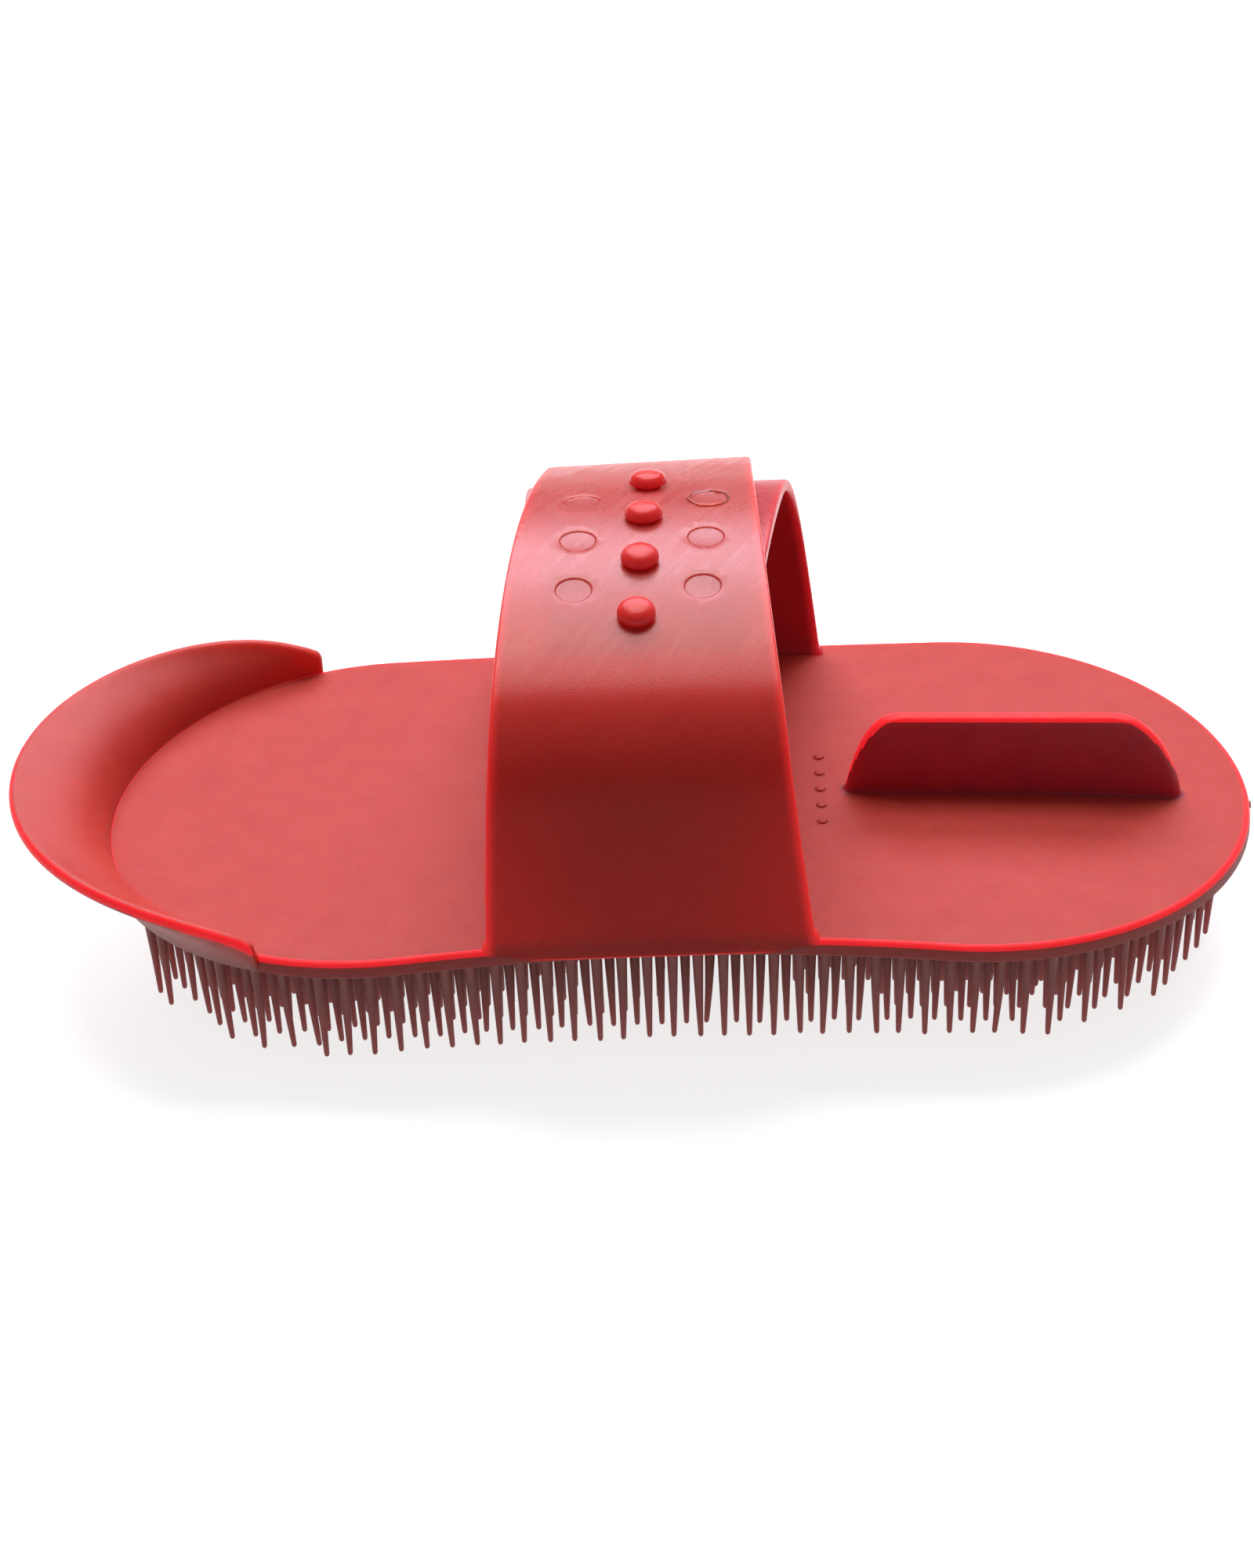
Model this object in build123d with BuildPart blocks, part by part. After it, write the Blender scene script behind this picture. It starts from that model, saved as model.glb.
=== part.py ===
from build123d import *
import math
import os

# A one-piece flexible plastic curry comb with a buttoned hand strap, as its functional pieces.
# Millimetres. X runs along the comb, the flared scoop at -X and the thumb fin at +X.
# Y runs across it. The outer strap half, with the button holes, grows from the -Y edge.
# Z is up, and Z = 0 is the surface that the lowest tooth tips stand on.
# The origin is the middle of the footprint.

# ---------------------------------------------------------------- driving dimensions
overall_length = 210.0
gate_stub_length = 0.35
gate_stub_width = 2.4
gate_stub_height = 1.2

plate_thickness = 3.0
right_end_radius = 48.1
left_end_radius = 47.0
front_waist_half_width = 45.2
rear_waist_half_width = 46.4
plate_arch_radius = 1036.0
plate_top_round = 1.0
waist_x = 4.0
left_end_centre_x = -42.4

tooth_length = 19.0
tooth_root_radius = 0.98
tooth_tip_radius = 0.44
tooth_pitch = 4.2
row_pitch = 3.9
row_count = 22
right_tooth_edge_distance = 4.6
left_tooth_edge_distance = 3.6
strip_thickness = 1.0
strip_edge_distance = 2.6

lip_thickness = 2.2
lip_back_sweep = 75.0
lip_front_sweep = 64.0
lip_crease_inset = 0.9
lip_rim_rise = 6.8
lip_back_drop = 5.0
lip_front_drop = 6.0
lip_front_narrowing = 0.35
lip_rim_tilt = 8.0
lip_end_tilt = 70.0
lip_section_count = 13

strap_thickness = 2.0
strap_gap = 0.3
root_roll_radius = 1.5
root_clearance = 0.3
hinge_y = 44.5
strap_lean = 97.0
front_rise = (126.0, 13.0)
front_corner = (20.0, 62.0)
front_crown = (93.0, 45.0)
rear_tip_angle = 18.5
rear_shoulder_angle = -16.0
rear_foot_angle = -84.0
front_root = {"centre_x": 2.8, "half_width": 27.2}
front_corner_width = {"centre_x": 1.8, "half_width": 24.2}
front_free_end = {"centre_x": 4.8, "half_width": 16.8}
rear_root = {"centre_x": 6.4, "half_width": 27.2}
rear_shoulder_width = {"centre_x": 6.4, "half_width": 22.9}
rear_tip = {"centre_x": 3.4, "half_width": 17.0}
strap_end_corner_radius = 1.3

stud_count = 4
stud_pitch = 13.9
free_end_to_first_stud = 17.3
first_stud_x = 4.6
stud_line_slope = -0.058
stud_shank_radius = 2.0
stud_hole_radius = 2.3
stud_head_radius = 3.2
stud_head_height = 2.2
stud_head_edge = 0.5
stud_head_lift = 0.4
mark_radius = 3.1
mark_depth = 0.3
mark_side_offset = 10.6

fin_start_x = 36.0
fin_end_x = 93.0
fin_ramp_top_z = 13.9
fin_toe_top_z = 12.4
fin_thickness = 2.6
fin_top_round = 0.8
fin_ramp_length = 9.3
fin_toe_length = 11.3

dot_count = 5
dot_pitch = 5.0
dot_radius = 0.9
dot_height = 0.35
dot_x = 32.0

# ---------------------------------------------------------------- worked-out values
plate_tip_x = overall_length / 2 - gate_stub_length
right_end_centre_x = plate_tip_x - right_end_radius
tooth_root_arch_radius = plate_arch_radius - plate_thickness


def row_y(row):
    """Middle line of a row of teeth; rows are counted from the -Y side."""
    return (row - (row_count - 1) / 2) * row_pitch


def tooth_angles(row):
    """Where one row's teeth stand round the arch. Every other row is shifted half a pitch."""
    right_reach = right_end_radius - right_tooth_edge_distance
    left_reach = left_end_radius - left_tooth_edge_distance
    right_limit = right_end_centre_x + math.sqrt(right_reach**2 - row_y(row) ** 2)
    left_limit = left_end_centre_x - math.sqrt(left_reach**2 - row_y(row) ** 2)
    shift = 0.0 if row % 2 else tooth_pitch / 2
    most_steps = int(overall_length / tooth_pitch)
    angles = []
    for step in range(-most_steps, most_steps + 1):
        angle = (step * tooth_pitch + shift) / tooth_root_arch_radius
        x = waist_x + tooth_root_arch_radius * math.sin(angle)
        if left_limit <= x <= right_limit:
            angles.append(angle)
    return angles


last_tooth_angle = max(abs(angle) for row in range(row_count) for angle in tooth_angles(row))
tip_arch_radius = tooth_root_arch_radius - tooth_length
arch_centre_z = -tip_arch_radius * math.cos(last_tooth_angle)
plate_top_z = arch_centre_z + plate_arch_radius
hinge_z = plate_top_z - plate_thickness / 2
crease_radius = left_end_radius - lip_crease_inset
plate_ends = ((right_end_centre_x, right_end_radius), (left_end_centre_x, left_end_radius))
lip_flare = overall_length / 2 + left_end_centre_x - crease_radius


def arch_z(x):
    """Height of the arched plate's top at x."""
    return arch_centre_z + math.sqrt(plate_arch_radius**2 - (x - waist_x) ** 2)


# ---------------------------------------------------------------- plate and tooth strips
def side_join(end, side):
    """Where an end arc meets the shallow concave side arc that starts at the waist."""
    centre_x, radius = end
    waist = rear_waist_half_width if side > 0 else front_waist_half_width
    reach = abs(centre_x - waist_x)
    rise = radius - waist
    side_radius = (reach**2 + waist**2 - radius**2) / (2 * rise)
    share = radius / (side_radius + radius)
    x = centre_x - share * (centre_x - waist_x)
    y = share * (waist + side_radius)
    return (x, side * y)


def plate_outline(inset):
    """Plan outline of the plate: two round ends and a slight waist, moved in by inset."""
    with BuildSketch() as outline:
        with BuildLine():
            for side, half_width in ((1, rear_waist_half_width), (-1, front_waist_half_width)):
                waist = (waist_x, side * half_width)
                TangentArc(waist, side_join(plate_ends[0], side), tangent=(1, 0))
                TangentArc(waist, side_join(plate_ends[1], side), tangent=(-1, 0))
            for end, outward in zip(plate_ends, (1, -1)):
                tip = (end[0] + outward * end[1], 0)
                ThreePointArc(side_join(end, 1), tip, side_join(end, -1))
        make_face()
        if inset > 0:
            offset(amount=-inset)
    return outline.sketch


def arched_slab(inset, top_depth, bottom_depth):
    """The plate's outline, moved in by inset, between two depths below the arched top."""
    with BuildPart() as slab:
        with BuildSketch():
            add(plate_outline(inset))
        extrude(amount=2 * plate_top_z)
        with BuildSketch(Plane.XZ):
            with Locations((waist_x, arch_centre_z)):
                Circle(plate_arch_radius - top_depth)
                Circle(plate_arch_radius - bottom_depth, mode=Mode.SUBTRACT)
        extrude(amount=overall_length, both=True, mode=Mode.INTERSECT)
    return slab.part


def row_band(low_y, high_y):
    """A tall block between two Y values, for cutting the plate lengthwise."""
    with BuildPart() as band:
        with Locations((0, (low_y + high_y) / 2, plate_top_z)):
            Box(2 * overall_length, high_y - low_y, 4 * plate_top_z)
    return band.part


ceiling_depth = plate_thickness - strip_thickness
bed_half_width = row_count * row_pitch / 2
strip_bed = arched_slab(strip_edge_distance, ceiling_depth, plate_thickness)
bed_cutter = arched_slab(strip_edge_distance, ceiling_depth, plate_thickness + 2)

with BuildPart() as bed_pocket:
    add(bed_cutter)
    add(row_band(-bed_half_width, bed_half_width), mode=Mode.INTERSECT)

with BuildPart() as back_plate:
    add(arched_slab(0, 0, plate_thickness))
    top_face = back_plate.faces().sort_by(Axis.Z)[-1]
    fillet(top_face.outer_wire().edges(), plate_top_round)
    add(bed_pocket.part, mode=Mode.SUBTRACT)
    for side, root in ((-1, front_root), (1, rear_root)):
        seat_length = 2 * (root["half_width"] + root_clearance)
        with Locations((root["centre_x"], side * (hinge_y + 5), hinge_z)):
            Box(seat_length, 10, 3 * plate_thickness, mode=Mode.SUBTRACT)
        with Locations(Plane((root["centre_x"], side * hinge_y, hinge_z), z_dir=(1, 0, 0))):
            Cylinder(root_roll_radius + root_clearance, seat_length, mode=Mode.SUBTRACT)
back_plate.part.label = "back_plate"

# One tooth points down local Z: a slim cone with a round tip. Its foot is sunk into the strip.
foot_sink = 0.2
with BuildPart() as tooth:
    with BuildSketch(Plane.XZ):
        with BuildLine():
            reach = tooth_length + foot_sink
            tip_start = (tooth_tip_radius, reach - tooth_tip_radius)
            Polyline((0, reach), (0, 0), (tooth_root_radius, 0), tip_start)
            RadiusArc(tip_start, (0, reach), -tooth_tip_radius)
        make_face()
    revolve(axis=Axis.Z)


def tooth_plane(row, angle):
    """Plane at the foot of one tooth, square to the arch, with Z pointing down the tooth."""
    foot_radius = tooth_root_arch_radius + foot_sink
    x = waist_x + foot_radius * math.sin(angle)
    z = arch_centre_z + foot_radius * math.cos(angle)
    down = (-math.sin(angle), 0, -math.cos(angle))
    return Plane((x, row_y(row), z), x_dir=(0, 1, 0), z_dir=down)


# Each row is two solids that meet between teeth near the waist, a left half and a right half,
# so that the comb stands on tips at both of its ends.
row_split_x = waist_x + tooth_pitch / 4
tooth_rows = []
for row in range(row_count):
    halves = []
    for side in (-1, 1):
        planes = [tooth_plane(row, angle) for angle in tooth_angles(row)]
        planes = [plane for plane in planes if side * (plane.origin.X - row_split_x) > 0]
        with BuildPart() as half_row:
            add(strip_bed)
            add(row_band(row_y(row) - row_pitch / 2, row_y(row) + row_pitch / 2), mode=Mode.INTERSECT)
            with Locations((row_split_x + side * overall_length / 2, row_y(row), plate_top_z)):
                Box(overall_length, 2 * row_pitch, 4 * plate_top_z, mode=Mode.INTERSECT)
            with Locations(*planes):
                add(tooth.part)
        halves.append(half_row.part.solid())
    tooth_rows.append(Compound(halves, label=f"tooth_row_{row + 1:02d}"))

# ---------------------------------------------------------------- scoop lip
def lip_plane(sweep):
    """Upright plane through the crease, sweep degrees round from -X; its X points outward."""
    angle = math.radians(180 - sweep)
    outward = (math.cos(angle), math.sin(angle), 0)
    x = left_end_centre_x + crease_radius * outward[0]
    y = crease_radius * outward[1]
    return Plane((x, y, arch_z(x)), x_dir=outward, z_dir=(outward[1], -outward[0], 0))


def lip_section(sweep):
    """Bell-mouthed wall: steep at the crease and flattening to the rim, upright at the ends."""
    share = sweep / (lip_back_sweep if sweep > 0 else -lip_front_sweep)
    sweep_angle = math.radians(sweep)
    chord = math.sqrt(crease_radius**2 - (lip_flare * math.sin(sweep_angle)) ** 2)
    flare = lip_flare * math.cos(sweep_angle) + chord - crease_radius
    drop = lip_back_drop * share**6
    if sweep < 0:
        flare *= 1 - lip_front_narrowing * share**4
        drop = lip_front_drop * share**4
    plane = lip_plane(sweep)
    rise = plate_top_z + lip_rim_rise - drop - plane.origin.Z
    tilt = math.radians(lip_rim_tilt + lip_end_tilt * share**2)
    along = Vector(math.cos(tilt), math.sin(tilt))
    across = Vector(math.sin(tilt), -math.cos(tilt))
    half = lip_thickness / 2
    inner_end = Vector(max(0.15, flare - half * (1 + math.sin(tilt))), rise)
    outer_end = inner_end + across * lip_thickness
    rim_middle = inner_end + (across + along) * half
    pull = 0.45 * flare + 0.5
    plate_edge = (lip_crease_inset, -2.6)
    with BuildSketch(plane) as section:
        with BuildLine():
            Bezier((0, 0), (0.08 * flare, 0.6 * rise), inner_end - along * pull, inner_end)
            ThreePointArc(inner_end, rim_middle, outer_end)
            outer_foot = (0.08 * flare + 2.3, 0.35 * rise - 1)
            Bezier(outer_end, outer_end - along * pull, outer_foot, plate_edge)
            Polyline(plate_edge, (-1.2, -2.6), (-1.2, -0.6), (0, 0))
        make_face()
    return section.sketch


with BuildPart() as scoop_lip:
    for index in range(lip_section_count):
        round_share = index / (lip_section_count - 1)
        sweep = (lip_back_sweep + lip_front_sweep) * round_share - lip_front_sweep
        add(lip_section(sweep))
    loft()
    add(back_plate.part, mode=Mode.SUBTRACT)
    add(strip_bed, mode=Mode.SUBTRACT)
scoop_lip.part.label = "scoop_lip"

# ---------------------------------------------------------------- thumb fin
with BuildPart() as thumb_fin:
    with BuildSketch(Plane.XZ):
        with BuildLine():
            foot_z = plate_top_z - 6
            ramp_top = (fin_start_x + fin_ramp_length, plate_top_z + fin_ramp_top_z)
            toe_top = (fin_end_x - fin_toe_length, plate_top_z + fin_toe_top_z)
            ramp_foot = (fin_start_x + 1.7, plate_top_z + 5.4)
            toe_foot = (fin_end_x, arch_z(fin_end_x) + 0.3)
            Line(ramp_top, toe_top)
            ThreePointArc(ramp_top, (fin_start_x + 3.9, plate_top_z + 10.4), ramp_foot)
            ThreePointArc(toe_top, (fin_end_x - 4.5, plate_top_z + 7.8), toe_foot)
            fin_start = (fin_start_x, arch_z(fin_start_x))
            Polyline(toe_foot, (fin_end_x, foot_z), (fin_start_x, foot_z), fin_start, ramp_foot)
        make_face()
    extrude(amount=fin_thickness / 2, both=True)
    crest = thumb_fin.edges().filter_by(lambda edge: edge.center().Z > plate_top_z + fin_toe_top_z)
    fillet(crest.filter_by(lambda edge: edge.length > 4 * fin_thickness), fin_top_round)
    with BuildSketch(Plane.XZ):
        with Locations((waist_x, arch_centre_z)):
            Circle(plate_arch_radius)
    extrude(amount=overall_length, both=True, mode=Mode.SUBTRACT)
thumb_fin.part.label = "thumb_fin"

# ---------------------------------------------------------------- strap side profiles
def heading_normal(degrees):
    """Unit vector square to a heading in the YZ plane, on its left."""
    angle = math.radians(degrees)
    return Vector(-math.sin(angle), math.cos(angle))


def clockwise_arcs(start, heading, bends):
    """Tangent arcs as (centre, radius, first heading, last heading), from radius and turn pairs."""
    arcs = []
    point = start
    for radius, turn in bends:
        centre = point - heading_normal(heading) * radius
        arcs.append((centre, radius, heading, heading - turn))
        heading = heading - turn
        point = centre + heading_normal(heading) * radius
    return arcs


def point_on(arc, heading, depth=0.0):
    """Point of an arc where it has this heading, moved towards the arc's centre by depth."""
    centre, radius = arc[0], arc[1]
    return centre + heading_normal(heading) * (radius - depth)


def draw_layer(arcs, depth):
    """Draws the closed outline of a strap-thick layer under the given arcs, in a BuildLine."""
    for level in (0.0, strap_thickness):
        for arc in arcs:
            middle = (arc[2] + arc[3]) / 2
            spots = [point_on(arc, heading, depth + level) for heading in (arc[2], middle, arc[3])]
            ThreePointArc(*spots)
    for arc, heading in ((arcs[0], arcs[0][2]), (arcs[-1], arcs[-1][3])):
        Line(point_on(arc, heading, depth), point_on(arc, heading, depth + strap_thickness))


front_start = Vector(-hinge_y, hinge_z) + heading_normal(strap_lean) * root_roll_radius
front_arcs = clockwise_arcs(front_start, strap_lean, [front_rise, front_corner, front_crown])
front_crown_arc = front_arcs[-1]

# The rear half lies under the front one along the crown, then bends down to its own root.
rear_depth = strap_thickness + strap_gap
rear_crown_arc = (
    front_crown_arc[0],
    front_crown_arc[1] - rear_depth,
    rear_tip_angle,
    rear_shoulder_angle,
)
rear_shoulder = point_on(rear_crown_arc, rear_shoulder_angle)
rear_end = Vector(hinge_y, hinge_z) + heading_normal(-strap_lean) * root_roll_radius
bend_step = heading_normal(rear_foot_angle) - heading_normal(rear_shoulder_angle)
rise_step = heading_normal(-strap_lean) - heading_normal(rear_foot_angle)
gap = rear_end - rear_shoulder
turn_area = bend_step.X * rise_step.Y - bend_step.Y * rise_step.X
rear_bend_radius = (gap.X * rise_step.Y - gap.Y * rise_step.X) / turn_area
rear_rise_radius = (bend_step.X * gap.Y - bend_step.Y * gap.X) / turn_area
rear_bends = [
    (rear_bend_radius, rear_shoulder_angle - rear_foot_angle),
    (rear_rise_radius, rear_foot_angle + strap_lean),
]
rear_arcs = [rear_crown_arc] + clockwise_arcs(rear_shoulder, rear_shoulder_angle, rear_bends)
print("rear bend and rise radii", round(rear_bend_radius, 1), round(rear_rise_radius, 1))


def crown_plane(distance_from_end, x):
    """Plane on the front half's outer surface, this far back from its free end; Z is outward."""
    heading = front_crown_arc[3] + math.degrees(distance_from_end / front_crown_arc[1])
    spot = point_on(front_crown_arc, heading)
    normal = heading_normal(heading)
    return Plane((x, spot.X, spot.Y), x_dir=(1, 0, 0), z_dir=(0, normal.X, normal.Y))


def side_edges(low, high, low_at, high_at):
    """Four corners of a taper between two widths, low end first."""
    return [
        (low["centre_x"] - low["half_width"], low_at),
        (low["centre_x"] + low["half_width"], low_at),
        (high["centre_x"] + high["half_width"], high_at),
        (high["centre_x"] - high["half_width"], high_at),
    ]


def taper_front_view(low, high, corner_z):
    """Prism that trims a strap's upright part, seen along Y; square above the corner."""
    edges = side_edges(low, high, hinge_z - 4, corner_z)
    above = [(edges[2][0], corner_z + 30), (edges[3][0], corner_z + 30)]
    with BuildPart() as trim:
        with BuildSketch(Plane.XZ):
            with BuildLine():
                Polyline(edges[0], edges[1], edges[2], *above, edges[3], close=True)
            make_face()
        extrude(amount=overall_length, both=True)
    return trim.part


def taper_plan(wide, narrow, wide_y, narrow_y):
    """Prism that trims a strap's crown in plan, with rounded corners at the narrow end."""
    edges = side_edges(wide, narrow, wide_y, narrow_y)
    outward = 20 if wide_y > narrow_y else -20
    wider = [(edges[1][0] + 5, wide_y), (edges[1][0] + 5, wide_y + outward)]
    wider += [(edges[0][0] - 5, wide_y + outward), (edges[0][0] - 5, wide_y)]
    with BuildPart() as trim:
        with BuildSketch() as plan:
            with BuildLine():
                Polyline(edges[3], edges[2], edges[1], *wider, edges[0], close=True)
            make_face()
            ends = plan.vertices().sort_by(Axis.Y)
            fillet(ends[:2] if wide_y > narrow_y else ends[-2:], strap_end_corner_radius)
        extrude(amount=8 * plate_top_z)
    return trim.part


# ---------------------------------------------------------------- front strap
strap_block_half = 40.0
front_end_point = point_on(front_crown_arc, front_crown_arc[3])
front_corner_z = point_on(front_arcs[1], 45).Y
stud_distances = [free_end_to_first_stud + index * stud_pitch for index in range(stud_count)]


def stud_line_x(distance):
    """X of the slightly slanted line of studs, this far back from the free end."""
    return first_stud_x + stud_line_slope * (distance - free_end_to_first_stud)


mark_distances = [distance + stud_pitch / 2 for distance in stud_distances[:-1]]

with BuildPart() as front_strap:
    with BuildSketch(Plane.YZ):
        with BuildLine():
            draw_layer(front_arcs, 0.0)
        make_face()
        with Locations((-hinge_y, hinge_z)):
            Circle(root_roll_radius)
    extrude(amount=strap_block_half, both=True)
    add(taper_front_view(front_root, front_corner_width, front_corner_z), mode=Mode.INTERSECT)
    free_end_y = front_end_point.X
    add(taper_plan(front_corner_width, front_free_end, -hinge_y - 1, free_end_y), mode=Mode.INTERSECT)
    for distance in stud_distances:
        with Locations(crown_plane(distance, stud_line_x(distance))):
            Cylinder(stud_hole_radius, 4 * strap_thickness, mode=Mode.SUBTRACT)
    for distance in mark_distances:
        for side in (1, -1):
            mark_x = stud_line_x(distance) + side * mark_side_offset
            with Locations(crown_plane(distance, mark_x)):
                Cylinder(mark_radius, 2 * mark_depth, mode=Mode.SUBTRACT)
front_strap.part.label = "front_strap"

# ---------------------------------------------------------------- rear strap
rear_tip_point = point_on(rear_crown_arc, rear_tip_angle)
rear_corner_z = point_on(rear_arcs[1], -45).Y

with BuildPart() as rear_strap:
    with BuildSketch(Plane.YZ):
        with BuildLine():
            draw_layer(rear_arcs, 0.0)
        make_face()
        with Locations((hinge_y, hinge_z)):
            Circle(root_roll_radius)
    extrude(amount=strap_block_half, both=True)
    add(taper_front_view(rear_root, rear_shoulder_width, rear_corner_z), mode=Mode.INTERSECT)
    add(taper_plan(rear_shoulder_width, rear_tip, hinge_y + 1, rear_tip_point.X), mode=Mode.INTERSECT)
    for distance in stud_distances:
        with Locations(crown_plane(distance, stud_line_x(distance))):
            Cylinder(stud_shank_radius, 8 * strap_thickness, mode=Mode.SUBTRACT)
rear_strap.part.label = "rear_strap"

# ---------------------------------------------------------------- studs
stud_foot = -(rear_depth + strap_thickness)
head_top = stud_head_lift + stud_head_height
studs = []
for index, distance in enumerate(stud_distances):
    with BuildPart() as stud:
        with BuildSketch(Plane.XZ):
            with BuildLine():
                head_edge = (stud_head_radius, stud_head_lift + stud_head_edge)
                shank = [(stud_shank_radius, stud_foot), (stud_shank_radius, stud_head_lift)]
                Polyline((0, head_top), (0, stud_foot), *shank, (stud_head_radius, stud_head_lift), head_edge)
                TangentArc((0, head_top), head_edge, tangent=(1, 0))
            make_face()
        revolve(axis=Axis.Z)
    placed = crown_plane(distance, stud_line_x(distance)).location * stud.part
    placed.label = f"stud_{index + 1}"
    studs.append(placed)

# ---------------------------------------------------------------- small raised details
with BuildPart() as mould_dots:
    for index in range(dot_count):
        y = (index - (dot_count - 1) / 2) * dot_pitch
        with Locations((dot_x, y, arch_z(dot_x) + dot_height - plate_thickness / 4)):
            Cylinder(dot_radius, plate_thickness / 2)
    add(back_plate.part, mode=Mode.SUBTRACT)
mould_dots.part.label = "mould_dots"

with BuildPart() as gate_stub:
    stub_z = arch_z(plate_tip_x) - plate_thickness / 2
    with Locations((overall_length / 2 - gate_stub_length, 0, stub_z)):
        Box(2 * gate_stub_length, gate_stub_width, gate_stub_height)
    add(back_plate.part, mode=Mode.SUBTRACT)
gate_stub.part.label = "gate_stub"

# ---------------------------------------------------------------- write one file for each piece
os.makedirs("parts", exist_ok=True)
pieces = [back_plate.part, scoop_lip.part, thumb_fin.part, front_strap.part, rear_strap.part]
pieces += [mould_dots.part, gate_stub.part] + studs + tooth_rows
for piece in pieces:
    export_step(piece, f"parts/{piece.label}.step")
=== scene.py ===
import math
import random

import bmesh
import bpy
from mathutils import Matrix, Vector
from mathutils.geometry import delaunay_2d_cdt


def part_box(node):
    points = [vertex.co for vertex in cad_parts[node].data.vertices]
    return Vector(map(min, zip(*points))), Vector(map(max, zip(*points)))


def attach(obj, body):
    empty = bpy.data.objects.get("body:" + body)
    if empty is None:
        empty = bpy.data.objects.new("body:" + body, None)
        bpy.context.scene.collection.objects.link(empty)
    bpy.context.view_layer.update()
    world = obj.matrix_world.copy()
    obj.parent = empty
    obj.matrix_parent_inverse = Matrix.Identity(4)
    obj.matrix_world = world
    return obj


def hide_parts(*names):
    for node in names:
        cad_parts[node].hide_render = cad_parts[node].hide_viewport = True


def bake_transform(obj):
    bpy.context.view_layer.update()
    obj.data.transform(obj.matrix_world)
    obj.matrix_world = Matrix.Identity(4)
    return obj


# A one-piece moulded curry comb: arched back with a scoop lip, a thumb fin, two strap halves
# buttoned together with studs, and rows of slim teeth. Shapes are worked out in millimetres, in
# the CAD frame, and turned into metres when a mesh is made. X runs along the comb, the lip at -X;
# the outer strap half grows from the -Y edge; the lowest tooth tips stand on Z = 0.

MM = 0.001
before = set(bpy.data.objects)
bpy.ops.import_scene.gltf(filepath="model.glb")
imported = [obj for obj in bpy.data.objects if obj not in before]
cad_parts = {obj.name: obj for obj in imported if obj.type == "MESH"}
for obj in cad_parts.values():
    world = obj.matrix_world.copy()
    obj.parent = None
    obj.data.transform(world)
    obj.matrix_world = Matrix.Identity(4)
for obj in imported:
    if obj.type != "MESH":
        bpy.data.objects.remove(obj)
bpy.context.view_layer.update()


def box_mm(node):
    """Lowest and highest corner of a CAD node, in millimetres."""
    low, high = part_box(node)
    return low / MM, high / MM


# ---------------------------------------------------------------- sizes taken from the frame
plate_high = box_mm("back_plate")[1]
lip_low = box_mm("scoop_lip")[0]
fin_low, fin_high = box_mm("thumb_fin")
dots_low, dots_high = box_mm("mould_dots")
stub_low, stub_high = box_mm("gate_stub")

right_radius = plate_high.y
left_radius = 47.0
plate_tip_x = plate_high.x
right_centre_x = plate_tip_x - right_radius
left_centre_x = -42.4
plate_top_z = plate_high.z

# ---------------------------------------------------------------- sizes shared with the CAD source
plate_thickness = 3.0
waist_x = 4.0
front_waist = 45.2
rear_waist = 46.4
arch_radius = 1036.0
arch_centre_z = plate_top_z - arch_radius
hinge_y = 44.5
hinge_z = plate_top_z - plate_thickness / 2

crease_radius = left_radius - 0.9
lip_thickness = 2.2
lip_back_sweep = 75.0
lip_front_sweep = 64.0
lip_rim_rise = 6.8
lip_back_drop = 5.0
lip_front_drop = 6.0
lip_front_narrowing = 0.35
lip_rim_tilt = 8.0
lip_end_tilt = 70.0
lip_flare = -lip_low.x + left_centre_x - crease_radius

strap_thickness = 2.0
strap_gap = 0.3
strap_lean = 97.0
root_roll_radius = 1.5
front_rise = (126.0, 13.0)
front_corner = (20.0, 62.0)
front_crown = (93.0, 45.0)
free_end_heading = -23.0
free_end_centre = 4.9
free_end_half_width = 17.3
rear_tip_heading = 18.5
rear_shoulder_heading = -16.0
rear_foot_heading = -84.0

row_count = 22
row_pitch = 3.9
tooth_pitch = 4.2
tooth_length = 19.0
tooth_root_radius = 0.98
tooth_tip_radius = 0.44
right_tooth_edge = 4.6
left_tooth_edge = 3.6
strip_thickness = 1.0
strip_edge = 2.62

stud_count = 4
stud_pitch = 13.9
first_stud_distance = 17.3
first_stud_x = 4.6
stud_line_slope = -0.058
stud_hole_radius = 2.3
mark_radius = 3.1
mark_side_offset = 10.6


def arch_z(x):
    """Height of the arched plate's top at x."""
    return arch_centre_z + math.sqrt(arch_radius**2 - (x - waist_x) ** 2)


# ---------------------------------------------------------------- mesh helpers
def make_object(name, points, faces, uvs=None):
    """A smooth mesh object in metres from points in millimetres, with outward normals. uvs holds
    (across, along, distance from the edge) for each point of a strap."""
    mesh = bpy.data.meshes.new(name)
    mesh.from_pydata([Vector(p) * MM for p in points], [], faces)
    mesh.validate()
    if uvs:
        layer = mesh.uv_layers.new(name="along_strap")
        edge_layer = mesh.uv_layers.new(name="from_edge")
        for loop in mesh.loops:
            across, along, from_edge = uvs[loop.vertex_index]
            layer.data[loop.index].uv = (across, along)
            edge_layer.data[loop.index].uv = (from_edge, 0)
    work = bmesh.new()
    work.from_mesh(mesh)
    bmesh.ops.remove_doubles(work, verts=work.verts, dist=0.002 * MM)
    bmesh.ops.dissolve_degenerate(work, edges=work.edges, dist=0.001 * MM)
    bmesh.ops.recalc_face_normals(work, faces=work.faces)
    work.to_mesh(mesh)
    work.free()
    for polygon in mesh.polygons:
        polygon.use_smooth = True
    thing = bpy.data.objects.new(name, mesh)
    bpy.context.scene.collection.objects.link(thing)
    return thing


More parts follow.
